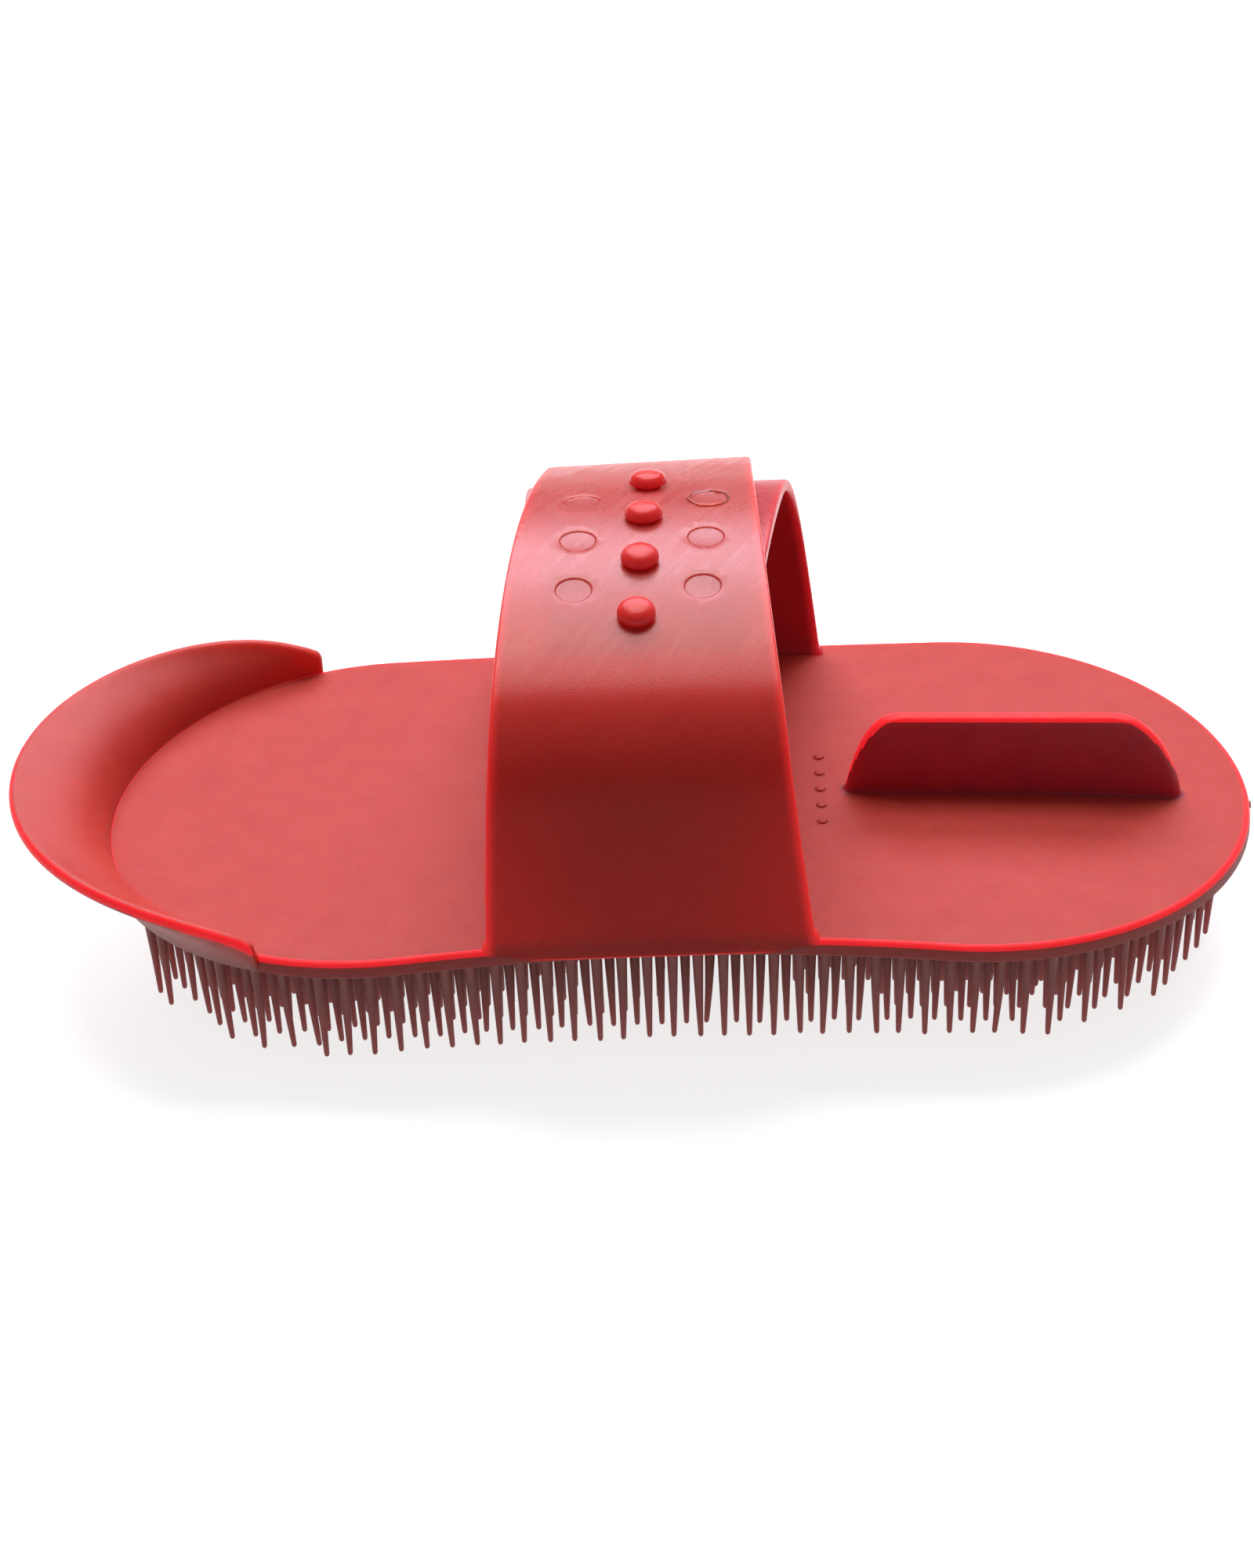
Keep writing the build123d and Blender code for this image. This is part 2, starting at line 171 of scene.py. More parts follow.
def ring_faces(ring_count, ring_size, closed_ends=(False, False), first=0):
    """Quads between successive rings of points, and end caps where asked."""
    faces = []
    for ring in range(ring_count - 1):
        for k in range(ring_size):
            a = first + ring * ring_size + k
            b = first + ring * ring_size + (k + 1) % ring_size
            faces.append((a, b, b + ring_size, a + ring_size))
    if closed_ends[0]:
        faces.append(tuple(first + k for k in range(ring_size))[::-1])
    if closed_ends[1]:
        faces.append(tuple(first + (ring_count - 1) * ring_size + k for k in range(ring_size)))
    return faces


def revolve(profile, sides, place, points, faces):
    """Adds a turned form to points and faces. The profile is (radius, height) pairs; the first
    and last are closed by a cap. place(u, v, height) gives the point."""
    first = len(points)
    for radius, height in profile:
        for k in range(sides):
            angle = 2 * math.pi * k / sides
            points.append(place(radius * math.cos(angle), radius * math.sin(angle), height))
    faces += ring_faces(len(profile), sides, (True, True), first)


def lerp(a, b, share):
    return a + (b - a) * share


def smoothstep(share):
    share = max(0.0, min(1.0, share))
    return share * share * (3 - 2 * share)


def through(knots, at):
    """Value at one place of the parabola through three (place, value) knots."""
    total = 0.0
    for i, (place_i, value) in enumerate(knots):
        weight = 1.0
        for j, (place_j, _) in enumerate(knots):
            if i != j:
                weight *= (at - place_j) / (place_i - place_j)
        total += weight * value
    return total


def round_edge(radius, steps):
    """(inset, depth) pairs of a rounded edge, from the face to the side."""
    pairs = []
    for k in range(steps + 1):
        angle = math.pi / 2 * k / steps
        pairs.append((radius * (1 - math.sin(angle)), radius * (1 - math.cos(angle))))
    return pairs


# ---------------------------------------------------------------- materials
def linear(red, green, blue):
    """Screen colour from 0 to 255 as linear RGBA."""
    values = []
    for level in (red, green, blue):
        share = level / 255
        values.append(share / 12.92 if share <= 0.04045 else ((share + 0.055) / 1.055) ** 2.4)
    return (*values, 1.0)


# How far red, green and blue light spreads under the skin, and the colour of the painted glow, an emission
# given to thin edges.
scatter_spread = (1.0, 0.2, 0.16)
painted_glow_colour = (1.0, 0.02, 0.03, 1.0)
# Along a strap, in its own 100 mm units: where the gloss grows from the dull root to the crown.
gloss_rise = (0.46, 0.76)
root_gloss_share = 0.1
# From a strap's edge inwards, in 10 mm units: where the painted edge glow fades out.
edge_fade = (-0.06, 0.2)


def soft_plastic(
    name,
    dark,
    light,
    grain,
    roughness,
    gloss=0.5,
    scratches=0.0,
    along=False,
    glow=0.0,
    painted_tip_light=None,
    bleed=3.5,
):
    """Satin soft plastic: cloudy colour, uneven gloss, a fine orange-peel skin and hair scratches.
    Glow is a painted glow, an emission standing in for light a thin edge gathers from behind;
    along puts the pattern along a strap, painted with that glow near its edges; the tip colour
    is painted light, lighter and redder ends for teeth; bleed is in millimetres."""
    material = bpy.data.materials.new(name)
    material.use_nodes = True
    nodes = material.node_tree.nodes
    links = material.node_tree.links
    shader = nodes["Principled BSDF"]
    coordinates = nodes.new("ShaderNodeTexCoord")
    source = coordinates.outputs["UV" if along else "Object"]

    def noise(scale, detail, stretch=(1, 1, 1), turn=0.0):
        rotation = nodes.new("ShaderNodeMapping")
        rotation.inputs["Rotation"].default_value = (0, 0, math.radians(turn))
        mapping = nodes.new("ShaderNodeMapping")
        mapping.inputs["Scale"].default_value = [scale * s for s in stretch]
        texture = nodes.new("ShaderNodeTexNoise")
        texture.inputs["Scale"].default_value = 1.0
        texture.inputs["Detail"].default_value = detail
        links.new(source, rotation.inputs["Vector"])
        links.new(rotation.outputs["Vector"], mapping.inputs["Vector"])
        links.new(mapping.outputs["Vector"], texture.inputs["Vector"])
        return texture.outputs["Fac"]

    def colour_ramp(value, low_at, high_at, low, high):
        stops = nodes.new("ShaderNodeValToRGB")
        for element, place, colour in zip(stops.color_ramp.elements, (low_at, high_at), (low, high)):
            element.position = place
            element.color = colour
        links.new(value, stops.inputs["Fac"])
        return stops.outputs["Color"]

    def spread(value, read, written, curve="LINEAR"):
        """Maps the read range of a value onto the written range."""
        node = nodes.new("ShaderNodeMapRange")
        node.interpolation_type = curve
        for socket, level in zip(("From Min", "From Max", "To Min", "To Max"), (*read, *written)):
            node.inputs[socket].default_value = level
        links.new(value, node.inputs["Value"])
        return node.outputs["Result"]

    def levels(value, low, high):
        """The middle of a noise, where most of its values lie, from low to high."""
        return spread(value, (0.3, 0.7), (low, high))

    def multiply_add(value, factor, base):
        node = nodes.new("ShaderNodeMath")
        node.operation = "MULTIPLY_ADD"
        node.inputs[1].default_value = factor
        links.new(value, node.inputs[0])
        links.new(base, node.inputs[2])
        return node.outputs["Value"]

    def coordinate(vector, axis):
        split = nodes.new("ShaderNodeSeparateXYZ")
        links.new(vector, split.inputs["Vector"])
        return split.outputs[axis]

    colour = colour_ramp(noise(grain, 4), 0.3, 0.72, dark, light)
    # Painted light: the colour blends towards the tip colour over the lowest 14 mm, so tooth tips read
    # lighter and redder than the roots in the plate's shade.
    if painted_tip_light:
        painted_light_height = 14 * MM
        blend = nodes.new("ShaderNodeMix")
        blend.data_type = "RGBA"
        blend.inputs["B"].default_value = painted_tip_light
        reach = spread(coordinate(source, "Z"), (0.0, painted_light_height), (1.0, 0.0))
        links.new(reach, blend.inputs["Factor"])
        links.new(colour, blend.inputs["A"])
        colour = blend.outputs["Result"]
    links.new(colour, shader.inputs["Base Color"])

    dullness = levels(noise(grain * 3.1, 5), roughness[0], roughness[1])
    height = levels(noise(grain * 60, 2), -0.5, 0.5)
    if scratches > 0:
        hair = noise(grain * 2, 3, (9, 0.4, 1), 32)
        lines = noise(grain * 2, 2, (13, 0.2, 1))
        height = multiply_add(hair, scratches, height)
        height = multiply_add(lines, 0.8 * scratches, height)
        dullness = multiply_add(levels(hair, -0.5, 0.5), 0.08 * scratches, dullness)
    links.new(dullness, shader.inputs["Roughness"])
    bump = nodes.new("ShaderNodeBump")
    bump.inputs["Strength"].default_value = 0.35
    bump.inputs["Distance"].default_value = 0.06 * MM
    links.new(height, bump.inputs["Height"])
    links.new(bump.outputs["Normal"], shader.inputs["Normal"])

    shader.inputs["Subsurface Weight"].default_value = 0.85
    shader.inputs["Subsurface Radius"].default_value = scatter_spread
    shader.inputs["Subsurface Scale"].default_value = bleed * MM
    shader.inputs["IOR"].default_value = 1.5
    shader.inputs["Specular IOR Level"].default_value = gloss
    # Painted glow: emission in the glow colour stands in for the light that thin edges gather from behind;
    # on a strap it fades in from the edges.
    shader.inputs["Emission Color"].default_value = painted_glow_colour
    shader.inputs["Emission Strength"].default_value = 0.0 if along else glow
    if along:
        shine = spread(coordinate(source, "Y"), gloss_rise, (root_gloss_share * gloss, gloss))
        links.new(shine, shader.inputs["Specular IOR Level"])
        edge_map = nodes.new("ShaderNodeUVMap")
        edge_map.uv_map = "from_edge"
        from_edge = coordinate(edge_map.outputs["UV"], "X")
        fade = spread(from_edge, edge_fade, (glow, 0.0), "SMOOTHSTEP")
        links.new(fade, shader.inputs["Emission Strength"])
    return material


back_plastic = soft_plastic(
    "back_plastic", linear(202, 66, 57), linear(209, 73, 62), 160, (0.46, 0.54), gloss=0.26
)
lip_plastic = soft_plastic(
    "lip_plastic", linear(205, 64, 54), linear(212, 71, 59), 130, (0.36, 0.44), gloss=0.36, bleed=5.0
)
# Painted shade: a darker, bluer copy of the plate's red, for the fin's shaded front face.
shaded_fin_plastic = soft_plastic(
    "shaded_fin_plastic", linear(188, 38, 60), linear(200, 46, 66), 160, (0.40, 0.50), gloss=0.4
)
# The front strap carries a painted glow along its edges.
front_strap_plastic = soft_plastic(
    "front_strap_plastic",
    linear(206, 66, 60),
    linear(215, 74, 66),
    4.5,
    (0.26, 0.34),
    gloss=0.68,
    scratches=1.3,
    along=True,
    glow=0.42,
    bleed=9.0,
)
# Painted shade: the rear half is a darker, more purple copy of the strap plastic, for its inner face in
# the loop's shade, with a weaker painted glow.
shaded_rear_strap_plastic = soft_plastic(
    "shaded_rear_strap_plastic",
    linear(186, 52, 62),
    linear(196, 60, 68),
    4.5,
    (0.26, 0.34),
    gloss=0.5,
    scratches=1.3,
    along=True,
    glow=0.3,
    bleed=3.0,
)
# Painted light: the studs are a lighter copy of the red, with a faint painted glow.
lit_stud_plastic = soft_plastic(
    "lit_stud_plastic", linear(222, 50, 48), linear(230, 60, 55), 90, (0.14, 0.2), gloss=0.34, glow=0.08
)
# Painted light: the tooth tips are painted lighter and redder than the roots.
tooth_plastic = soft_plastic(
    "tooth_plastic",
    linear(172, 78, 68),
    linear(192, 92, 80),
    120,
    (0.40, 0.55),
    painted_tip_light=linear(235, 84, 82),
)
stub_plastic = soft_plastic(
    "stub_plastic", linear(220, 110, 108), linear(240, 190, 186), 900, (0.5, 0.7)
)
# Painted glow: a brighter, redder copy of the plastic with emission, for thin edges and rims.
painted_edge_glow = soft_plastic(
    "painted_edge_glow", linear(214, 40, 46), linear(222, 50, 54), 160, (0.36, 0.46), gloss=0.2, glow=0.48
)


def paint_edge_glow(thing, on_edge):
    """Gives the painted edge glow, a brighter red copy of the plastic with emission, to the faces that
    on_edge(centre in millimetres, normal) picks.
    """
    thing.data.materials.append(painted_edge_glow)
    for polygon in thing.data.polygons:
        if on_edge(polygon.center / MM, polygon.normal):
            polygon.material_index = len(thing.data.materials) - 1


def finish_piece(thing, material, body, nodes):
    """Material, the CAD nodes that it stands for, which are hidden, and the body that it rides on, if any.
    """
    thing.data.materials.clear()
    thing.data.materials.append(material)
    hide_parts(*nodes)
    if body:
        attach(thing, body)


# ---------------------------------------------------------------- back plate
def plate_outline():
    """Points round the plate with their outward directions: two round ends, two shallow waists."""
    ends = ((right_centre_x, right_radius), (left_centre_x, left_radius))
    outline = []

    def side_arc(end, side):
        """Radius and centre height of a concave side arc, and how far round the end arc it starts."""
        centre_x, radius = end
        waist = rear_waist if side > 0 else front_waist
        reach = centre_x - waist_x
        side_radius = (reach**2 + waist**2 - radius**2) / (2 * (radius - waist))
        lean = math.atan2(waist + side_radius, -reach)
        return side_radius, waist + side_radius, lean

    def add_end(end, from_angle, to_angle, steps):
        for k in range(steps):
            angle = lerp(from_angle, to_angle, k / steps)
            direction = Vector((math.cos(angle), math.sin(angle)))
            outline.append((Vector((end[0], 0)) + direction * end[1], direction))

    def add_side(side, radius, centre_y, from_angle, to_angle, steps):
        centre = Vector((waist_x, side * centre_y))
        for k in range(steps):
            angle = lerp(from_angle, to_angle, k / steps)
            inward = Vector((math.cos(angle), side * math.sin(angle)))
            outline.append((centre + inward * radius, -inward))

    down = -math.pi / 2
    end_steps, side_steps = 96, 24
    right_rear, left_rear = side_arc(ends[0], 1), side_arc(ends[1], 1)
    right_front, left_front = side_arc(ends[0], -1), side_arc(ends[1], -1)
    add_end(ends[0], -right_front[2], right_rear[2], end_steps)
    add_side(1, *right_rear[:2], right_rear[2] - math.pi, down, side_steps)
    add_side(1, *left_rear[:2], down, left_rear[2] - math.pi, side_steps)
    add_end(ends[1], left_rear[2], 2 * math.pi - left_front[2], end_steps)
    add_side(-1, *left_front[:2], left_front[2] - math.pi, down, side_steps)
    add_side(-1, *right_front[:2], down, right_front[2] - math.pi, side_steps)
    return outline


def make_plate():
    """Arched plate with rounded edges and a shallow pocket underneath for the tooth strips."""
    top_round, bottom_round = 1.1, 0.45
    pocket_inset, pocket_depth, pocket_round = 2.6, 2.0, 0.15
    spine_steps = 14
    interior = [k / spine_steps for k in range(1, spine_steps + 1)]
    levels = [("spine", share, 0.0) for share in reversed(interior)]
    levels += [("edge", inset, depth) for inset, depth in round_edge(top_round, 5)]
    below = [(inset, plate_thickness - depth) for inset, depth in round_edge(bottom_round, 3)]
    levels += [("edge", inset, depth) for inset, depth in reversed(below)]
    levels.append(("edge", pocket_inset - pocket_round, plate_thickness))
    levels.append(("edge", pocket_inset, plate_thickness - pocket_round))
    levels.append(("edge", pocket_inset, pocket_depth))
    levels += [("spine", share, pocket_depth) for share in interior]
    outline = plate_outline()
    points = []
    for kind, amount, depth in levels:
        for spot, outward in outline:
            if kind == "edge":
                place = spot - outward * amount
            else:
                base = spot - outward * (top_round if depth == 0 else pocket_inset)
                spine_x = max(left_centre_x, min(right_centre_x, base.x))
                place = base.lerp(Vector((spine_x, 0)), amount)
            points.append((place.x, place.y, arch_z(place.x) - depth))
    faces = ring_faces(len(levels), len(outline))
    plate = make_object("comb_back", points, faces)
    plate.data.set_sharp_from_angle(angle=math.radians(50))
    finish_piece(plate, back_plastic, "comb_back", ["back_plate"])
    # Painted glow on the plate's rounded top edge.
    paint_edge_glow(plate, lambda spot, normal: normal.z > 0.3 and arch_z(spot.x) - spot.z > 0.02)
    return plate


# ---------------------------------------------------------------- scoop lip
def bezier(a, b, c, d, share):
    """Point of the cubic curve with these four control points."""
    rest = 1 - share
    return a * rest**3 + b * 3 * rest**2 * share + c * 3 * rest * share**2 + d * share**3


def lip_section(sweep, fullness, drop):
    """One upright cut through the lip, as 3D points from the crease over the rim to the plate edge.
    Fullness thins the wall and drop lowers the rim, both for the rounded ends."""
    angle = math.radians(180 - sweep)
    outward = Vector((math.cos(angle), math.sin(angle)))
    origin = Vector((left_centre_x, 0)) + outward * crease_radius
    base_z = arch_z(origin.x)
    end_sweep = lip_back_sweep if sweep > 0 else lip_front_sweep
    share = min(1.0, abs(sweep) / end_sweep)
    turn = math.radians(end_sweep * share)
    flare = lip_flare * math.cos(turn) - crease_radius
    flare += math.sqrt(crease_radius**2 - (lip_flare * math.sin(turn)) ** 2)
    fall = lip_back_drop * share**6
    if sweep < 0:
        flare *= 1 - lip_front_narrowing * share**4
        fall = lip_front_drop * share**4
    rise = plate_top_z + lip_rim_rise - fall - drop - base_z
    tilt = math.radians(lip_rim_tilt + lip_end_tilt * share**2)
    along = Vector((math.cos(tilt), math.sin(tilt)))
    across = Vector((math.sin(tilt), -math.cos(tilt)))
    half = lip_thickness / 2
    least_flare = 0.15
    inner_end = Vector((max(least_flare, flare - half * (1 + math.sin(tilt))), rise))
    outer_end = inner_end + across * lip_thickness
    pull = 0.45 * flare + 0.5
    inner = [Vector((0, 0)), Vector((0.08 * flare, 0.6 * rise)), inner_end - along * pull, inner_end]
    foot = Vector((1.2, -2.6))
    outer = [foot, Vector((0.08 * flare + 2.3, 0.35 * rise - 1)), outer_end - along * pull, outer_end]
    steps, rim_steps = 22, 12
    inside = [bezier(*inner, k / steps) for k in range(steps + 1)]
    outside = [bezier(*outer, k / steps) for k in range(steps + 1)]
    middle = [(a + b) / 2 for a, b in zip(inside, outside)]
    inside = [m + (p - m) * fullness for m, p in zip(middle, inside)]
    outside = [m + (p - m) * fullness for m, p in zip(middle, outside)]
    rim = []
    for k in range(1, rim_steps):
        bend = math.pi * k / rim_steps
        rim.append(middle[-1] + (along * math.sin(bend) - across * math.cos(bend)) * half * fullness)
    root_top, root_bottom = Vector((-1.2, -0.9)), Vector((-1.2, -2.6))
    section = [root_top] + inside + rim + outside[::-1] + [root_bottom]
    return [(*(origin + outward * p.x), base_z + p.y) for p in section]


def make_lip():
    """Bell-mouthed lip swept round the crease, with rounded, falling ends."""
    half = lip_thickness / 2
    end_round = math.degrees(half / crease_radius)
    stations = []
    body_steps, end_steps = 110, 8
    last_turn = math.pi / 2 * end_steps / (end_steps + 0.4)
    for k in range(body_steps + 1):
        stations.append((lerp(-lip_front_sweep, lip_back_sweep, k / body_steps), 1.0))
    for k in range(1, end_steps + 1):
        angle = last_turn * k / end_steps
        grow = end_round * math.sin(angle)
        stations.append((lip_back_sweep + grow, math.cos(angle)))
        stations.insert(0, (-lip_front_sweep - grow, math.cos(angle)))
    points = []
    corner_sweep, corner_drop = 3.4, 1.2
    fall_length = corner_sweep + end_round
    for sweep, fullness in stations:
        end_sweep = lip_back_sweep if sweep > 0 else lip_front_sweep
        end_share = max(0.0, 1 - (end_sweep + end_round - abs(sweep)) / fall_length)
        drop = corner_drop * (1 - math.sqrt(max(0.0, 1 - end_share**2)))
        points += lip_section(sweep, fullness, drop)
    size = len(points) // len(stations)
    faces = ring_faces(len(stations), size, (True, True))

    def on_rim(spot, normal):
        """The rounded rim, seen as the faces that look up and away from the plate's middle."""
        away = Vector((spot.x - left_centre_x, spot.y, 0)).normalized()
        return spot.z > arch_z(spot.x) + 1.5 and normal.z > -0.2 and normal.dot(away) > 0.25

    lip = make_object("scoop_rim", points, faces)
    lip.data.set_sharp_from_angle(angle=math.radians(60))
    finish_piece(lip, lip_plastic, "comb_back", ["scoop_lip"])
    # Painted glow on the lip's rounded rim.
    paint_edge_glow(lip, on_rim)
    return lip


# ---------------------------------------------------------------- thumb fin
def make_fin():
    """Upright fin as stacked slots: a slight fillet at the plate, round ends and a round crest."""
    start_x, end_x = fin_low.x, fin_high.x
    half = (fin_high.y - fin_low.y) / 2
    crest, fillet = 0.85, 0.35
    ramp_lean, ramp_bow = 3.9, 5.45
    toe_lean, toe_bow = 1.2, 10.16
    crest_fall, fillet_share, body_steps, crest_steps = 1.5, 0.025, 24, 8
    top_left, top_right = fin_high.z, fin_high.z - crest_fall

    def left_x(share):
        return start_x + ramp_lean * share + ramp_bow * (1 - math.sqrt(max(0.0, 1 - share**4)))

    def right_x(share):
        return end_x - toe_lean * share - toe_bow * (1 - math.sqrt(max(0.0, 1 - share**2)))

    def top_z(x):
        span = (left_x(1), right_x(1))
        return lerp(top_left, top_right, (x - span[0]) / (span[1] - span[0]))

    levels = [(-0.04, half + fillet)]
    for k in range(5):
        angle = math.pi / 2 * k / 4
        levels.append((fillet_share * (1 - math.cos(angle)), half + fillet * (1 - math.sin(angle))))
    body_top = 1 - crest / (top_left - arch_z(start_x))
    for k in range(1, body_steps + 1):
        levels.append((lerp(fillet_share, body_top, math.sin(math.pi / 2 * k / body_steps)), half))
    for k in range(1, crest_steps + 1):
        angle = math.pi / 2 * k / crest_steps
        share = lerp(body_top, 1, math.sin(angle))
        levels.append((share, half - crest * (1 - math.cos(angle))))
    straight, curve = 48, 12
    points = []
    for share, thickness in levels:
        flare = max(0.0, thickness - half)
        rise = max(0.0, min(1.0, share))
        low = left_x(rise) + half - flare
        high = right_x(rise) - half + flare
        ring = [(lerp(low, high, k / straight), -thickness) for k in range(straight)]
        for k in range(curve):
            angle = math.pi * k / curve - math.pi / 2
            ring.append((high + thickness * math.cos(angle), thickness * math.sin(angle)))
        ring += [(lerp(high, low, k / straight), thickness) for k in range(straight)]
        for k in range(curve):
            angle = math.pi * k / curve + math.pi / 2
            ring.append((low + thickness * math.cos(angle), thickness * math.sin(angle)))
        for x, y in ring:
            points.append((x, y, lerp(arch_z(x), top_z(x), share)))
    size = len(points) // len(levels)
    faces = ring_faces(len(levels), size, (True, False))
    first = (len(levels) - 1) * size
    opposite = 2 * straight + curve
    for k in range(straight):
        faces.append((first + k, first + k + 1, first + opposite - k - 1, first + opposite - k))
    faces.append(tuple(first + straight + k for k in range(curve + 1)))
    faces.append(tuple(first + (opposite + k) % size for k in range(curve + 1)))
    fin = make_object("thumb_fin_wall", points, faces)
    fin.data.set_sharp_from_angle(angle=math.radians(55))
    finish_piece(fin, shaded_fin_plastic, "comb_back", ["thumb_fin"])
    # Painted glow on the fin's crest.
    paint_edge_glow(fin, lambda spot, normal: normal.z > 0.25 and spot.z > arch_z(spot.x) + 1.5)
    return fin


# ---------------------------------------------------------------- strap halves
def heading_normal(degrees):
    """Unit vector square to a heading in the YZ plane, on its left."""
    angle = math.radians(degrees)
    return Vector((-math.sin(angle), math.cos(angle)))


def clockwise_arcs(start, heading, bends):
    """Tangent arcs as (centre, radius, first heading, turn), from radius and turn pairs."""
    arcs = []
    point = start
    for radius, turn in bends:
        centre = point - heading_normal(heading) * radius
        arcs.append((centre, radius, heading, turn))
        heading -= turn
        point = centre + heading_normal(heading) * radius
    return arcs


def profile_length(arcs):
    return sum(radius * math.radians(turn) for _, radius, _, turn in arcs)


def profile_at(arcs, distance):
    """Point and outward normal at a distance along the arcs."""
    for index, (centre, radius, heading, turn) in enumerate(arcs):
        length = radius * math.radians(turn)
        if distance <= length or index == len(arcs) - 1:
            normal = heading_normal(heading - math.degrees(distance / radius))
            return centre + normal * radius, normal
        distance -= length


# Each half starts a little above the plate's underside, inside the plate's edge. From there the
# front half rises, turns the corner and runs over the crown to its free end.
root_sink = hinge_z - (plate_top_z - plate_thickness) - 0.25
front_start = Vector((-hinge_y, hinge_z)) + heading_normal(strap_lean) * root_roll_radius
sink_turn = math.degrees(root_sink / front_rise[0])
front_rise_centre = front_start - heading_normal(strap_lean) * front_rise[0]
sunk_start = front_rise_centre + heading_normal(strap_lean + sink_turn) * front_rise[0]
sunk_rise = (front_rise[0], front_rise[1] + sink_turn)
front_arcs = clockwise_arcs(sunk_start, strap_lean + sink_turn, [sunk_rise, front_corner, front_crown])
front_length = profile_length(front_arcs)
crown_centre, crown_radius = front_arcs[2][:2]

# The rear half hangs from its tip under the front crown and turns down to the rear edge.
rear_depth = strap_thickness + strap_gap
rear_crown_radius = crown_radius - rear_depth
rear_tip_point = crown_centre + heading_normal(rear_tip_heading) * rear_crown_radius
rear_shoulder = crown_centre + heading_normal(rear_shoulder_heading) * rear_crown_radius
rear_end = Vector((hinge_y, hinge_z)) + heading_normal(-strap_lean) * root_roll_radius
bend_step = heading_normal(rear_foot_heading) - heading_normal(rear_shoulder_heading)
rise_step = heading_normal(-strap_lean) - heading_normal(rear_foot_heading)
gap = rear_end - rear_shoulder
turn_area = bend_step.x * rise_step.y - bend_step.y * rise_step.x
rear_bend_radius = (gap.x * rise_step.y - gap.y * rise_step.x) / turn_area
rear_rise_radius = (bend_step.x * gap.y - bend_step.y * gap.x) / turn_area
rear_sink_turn = math.degrees(root_sink / rear_rise_radius)
rear_arcs = clockwise_arcs(
    rear_tip_point,
    rear_tip_heading,
    [
        (rear_crown_radius, rear_tip_heading - rear_shoulder_heading),
        (rear_bend_radius, rear_shoulder_heading - rear_foot_heading),
        (rear_rise_radius, rear_foot_heading + strap_lean + rear_sink_turn),
    ],
)
rear_length = profile_length(rear_arcs)


